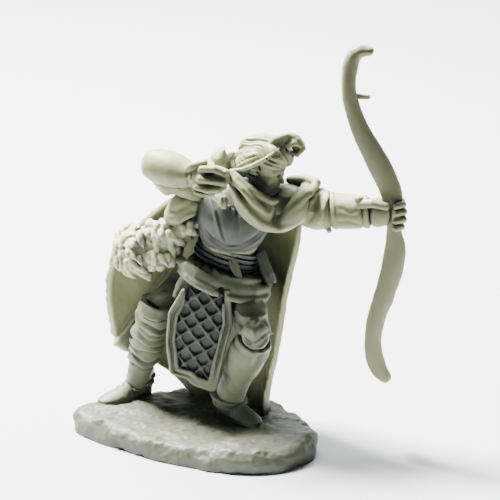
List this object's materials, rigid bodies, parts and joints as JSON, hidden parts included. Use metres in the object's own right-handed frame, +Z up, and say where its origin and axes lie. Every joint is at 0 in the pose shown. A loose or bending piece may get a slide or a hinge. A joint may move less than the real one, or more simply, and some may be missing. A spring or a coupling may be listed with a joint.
{
  "type": "tabletop archer figure",
  "caption": "Unpainted moulded figure of a cloaked archer in a lunge, aiming a recurved bow, on a low oval sculpted base.",
  "frame": {"origin": "middle of the base's flat underside, on the surface it stands on", "axes": "+Z up; the figure faces -Y and aims the bow towards +X"},
  "size_m": [0.0351, 0.0201, 0.0434],
  "materials": {
    "figure_vinyl": "light grey-green moulded soft vinyl, matte, unpainted",
    "bow_vinyl": "the same vinyl, a little paler where it is thin",
    "base_vinyl": "the same vinyl, rougher, sculpted as trodden ground"
  },
  "bodies": {
    "root": {"base": "base_vinyl", "belt": "figure_vinyl", "belt_end": "figure_vinyl", "bow": "bow_vinyl", "bow_string_stub": "bow_vinyl", "breastplate": "figure_vinyl", "circlet": "figure_vinyl", "cloak": "figure_vinyl", "cloak_clasp": "figure_vinyl", "coat_tail": "figure_vinyl", "cowl": "figure_vinyl", "fauld": "figure_vinyl", "forelock": "figure_vinyl", "fur_mantle": "figure_vinyl", "hair": "figure_vinyl", "head": "figure_vinyl", "hip_strap": "figure_vinyl", "hood": "figure_vinyl", "left_ankle_cuff": "figure_vinyl", "left_boot": "figure_vinyl", "left_bracer": "figure_vinyl", "left_foot": "figure_vinyl", "left_hand": "figure_vinyl", "left_knee_flap": "figure_vinyl", "left_thigh": "figure_vinyl", "left_upper_arm": "figure_vinyl", "neck": "figure_vinyl", "pelvis": "figure_vinyl", "right_ankle_strap": "figure_vinyl", "right_boot": "figure_vinyl", "right_boot_cuff": "figure_vinyl", "right_foot": "figure_vinyl", "right_forearm": "figure_vinyl", "right_hand": "figure_vinyl", "right_thigh": "figure_vinyl", "right_upper_arm": "figure_vinyl", "shoulder_drape": "figure_vinyl", "skirt": "figure_vinyl", "tabard_border": "figure_vinyl", "tabard_panel": "figure_vinyl", "torso": "figure_vinyl"}
  },
  "joints": []
}
